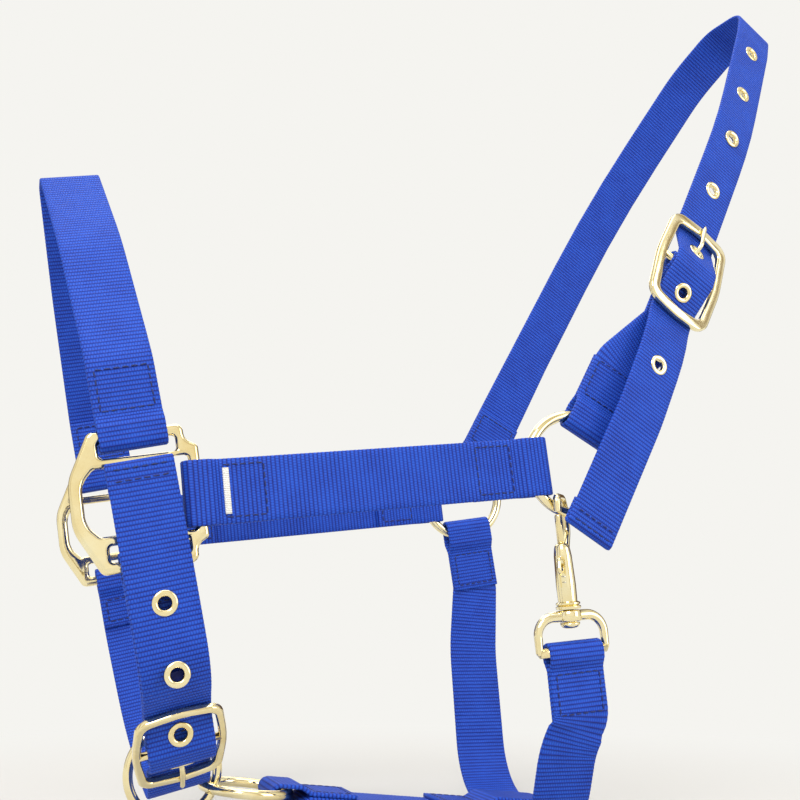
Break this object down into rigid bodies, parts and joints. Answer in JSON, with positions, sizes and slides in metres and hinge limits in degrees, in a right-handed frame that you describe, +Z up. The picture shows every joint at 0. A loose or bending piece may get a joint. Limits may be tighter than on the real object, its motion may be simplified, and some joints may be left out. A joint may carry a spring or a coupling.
{
  "type": "pony halter",
  "caption": "Flat webbing head halter with cast squares, cheek rings, an adjustable crown and chin, and a bolt snap that opens the throat strap.",
  "frame": {"origin": "on the mid-plane, halfway between the squares' centres and the cheek rings' centres, which is the middle of the head when worn", "axes": "+Z up, -X towards the nose, -Y towards the near side, where the crown buckle and snap are"},
  "size_m": [0.3973, 0.1384, 0.4408],
  "materials": {
    "webbing": "royal blue cross-ribbed nylon webbing",
    "brass_plate": "polished pale brass plate",
    "spring_wire": "bright spring wire",
    "thread": "dark blue bonded thread",
    "tab_tape": "plain off-white woven tape"
  },
  "bodies": {
    "webbing": {"noseband": "webbing", "near_cheek_strap": "webbing", "far_cheek_strap": "webbing", "crown_strap": "webbing", "crown_billet": "webbing", "chin_strap": "webbing", "chin_billet": "webbing", "throat_strap": "webbing", "jaw_strap": "webbing", "near_square": "brass_plate", "far_square": "brass_plate", "crown_eyelets": "brass_plate", "chin_eyelets": "brass_plate", "stitching": "thread", "woven_tab": "tab_tape"},
    "near_cheek_ring": {"near_ring": "brass_plate"},
    "far_cheek_ring": {"far_ring": "brass_plate"},
    "chin_o_ring": {"chin_ring": "brass_plate"},
    "jaw_o_ring": {"jaw_ring": "brass_plate"},
    "crown_buckle": {"crown_buckle_frame": "brass_plate"},
    "crown_tongue": {"crown_buckle_tongue": "brass_plate"},
    "chin_buckle": {"chin_buckle_frame": "brass_plate"},
    "chin_tongue": {"chin_buckle_tongue": "brass_plate"},
    "yoke": {"snap_yoke": "brass_plate"},
    "snap": {"snap_body": "brass_plate", "snap_rivet": "brass_plate", "snap_spring": "spring_wire"},
    "bolt": {"snap_bolt": "brass_plate"}
  },
  "joints": [
    {"name": "near_ring_turn", "type": "hinge", "parent": "webbing", "child": "near_cheek_ring", "pos_m": [0.09032, -0.06, 0.01109], "axis": [0, 1, 0], "continuous": true},
    {"name": "far_ring_turn", "type": "hinge", "parent": "webbing", "child": "far_cheek_ring", "pos_m": [0.09032, 0.06, 0.01109], "axis": [0, 1, 0], "continuous": true},
    {"name": "chin_ring_turn", "type": "hinge", "parent": "webbing", "child": "chin_o_ring", "pos_m": [-0.06625, 0, -0.11535], "axis": [0, 1, 0], "continuous": true},
    {"name": "jaw_ring_turn", "type": "hinge", "parent": "webbing", "child": "jaw_o_ring", "pos_m": [-0.03605, 0, -0.12321], "axis": [0.1175, 0, 0.9931], "continuous": true},
    {"name": "crown_buckle_rock", "type": "hinge", "parent": "webbing", "child": "crown_buckle", "pos_m": [0.15892, -0.05761, 0.10868], "axis": [-0.8729, -0.1159, 0.4739], "range_deg": [-1, 1]},
    {"name": "crown_tongue_turn", "type": "hinge", "parent": "crown_buckle", "child": "crown_tongue", "pos_m": [0.15892, -0.05761, 0.10868], "axis": [-0.8729, -0.1159, 0.4739], "range_deg": [-2, 0]},
    {"name": "chin_buckle_rock", "type": "hinge", "parent": "webbing", "child": "chin_buckle", "pos_m": [-0.06951, -0.0375, -0.10122], "axis": [0.9744, 0, 0.225], "range_deg": [-1, 1]},
    {"name": "chin_tongue_turn", "type": "hinge", "parent": "chin_buckle", "child": "chin_tongue", "pos_m": [-0.06951, -0.0375, -0.10122], "axis": [0.9744, 0, 0.225], "range_deg": [-2, 0]},
    {"name": "yoke_rock", "type": "hinge", "parent": "webbing", "child": "yoke", "pos_m": [0.08396, -0.06528, -0.06705], "axis": [0.9962, 0, 0.0872], "range_deg": [-0.3, 0.5]},
    {"name": "snap_swivel", "type": "hinge", "parent": "yoke", "child": "snap", "pos_m": [0.07895, -0.06528, -0.00977], "axis": [-0.0872, 0, 0.9962], "range_deg": [-2, 1.5]},
    {"name": "bolt_slide", "type": "slide", "parent": "snap", "child": "bolt", "axis": [0.0872, 0, -0.9962], "range_m": [0, 0.008], "stiffness_N_per_m": 120, "springref_m": -0.004, "deforming": ["snap_spring"]}
  ]
}
